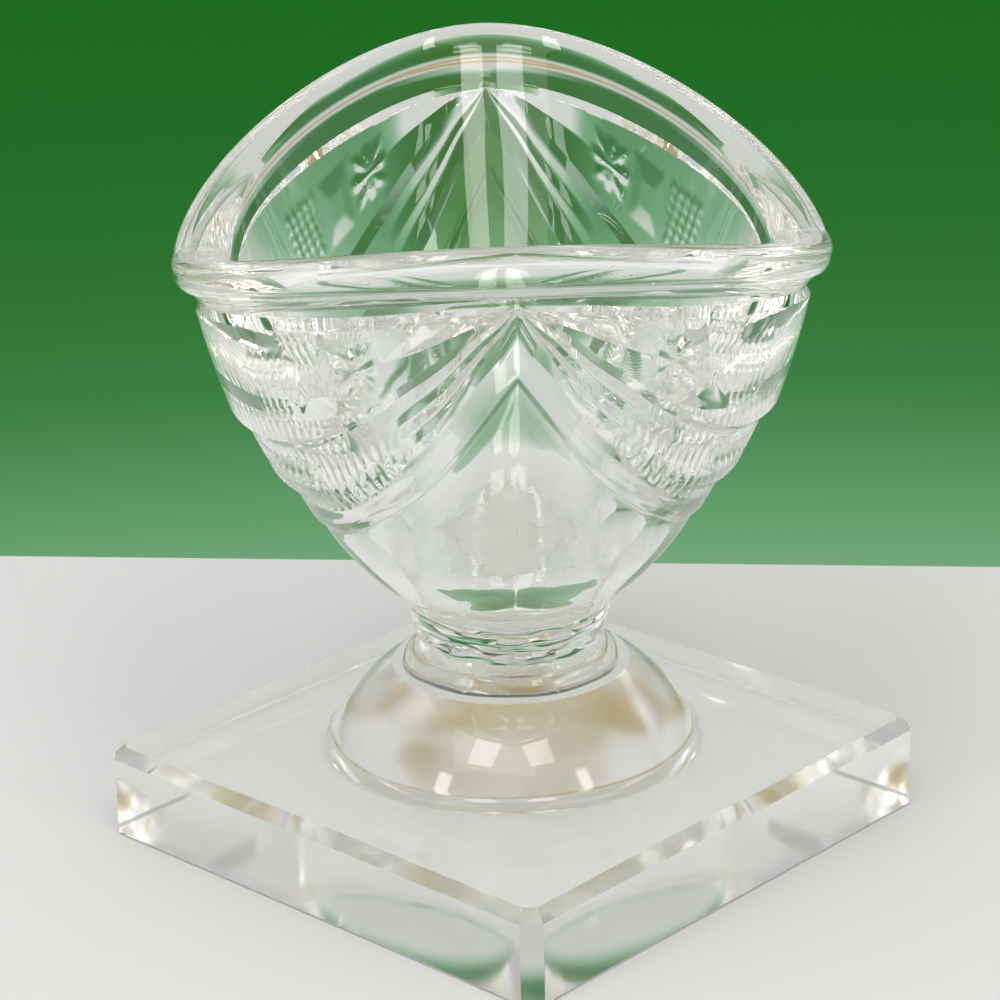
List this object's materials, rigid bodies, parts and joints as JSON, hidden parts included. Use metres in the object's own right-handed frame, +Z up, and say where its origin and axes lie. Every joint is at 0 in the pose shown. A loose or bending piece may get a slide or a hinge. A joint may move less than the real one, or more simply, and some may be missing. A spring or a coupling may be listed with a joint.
{
  "type": "salt cellar",
  "caption": "Boat-shaped cut-glass open salt cellar: a footed bowl with swagged cut tiers and a sheered rim, on a domed square plinth; holds table salt for a small spoon.",
  "frame": {"origin": "middle of the plinth's underside, on the surface it stands on", "axes": "+Z up; the bowl's length runs along Y and its beam along X; the plinth's corners point along X and Y"},
  "size_m": [0.0784, 0.0928, 0.0706],
  "materials": {
    "foot_glass": "pressed, ground and polished colourless crystal",
    "wafer_glass": "fire-polished colourless crystal",
    "bowl_glass": "wheel-cut and polished colourless crystal"
  },
  "bodies": {
    "root": {"square_foot": "foot_glass", "joining_wafer": "wafer_glass", "cut_bowl": "bowl_glass"}
  },
  "joints": []
}
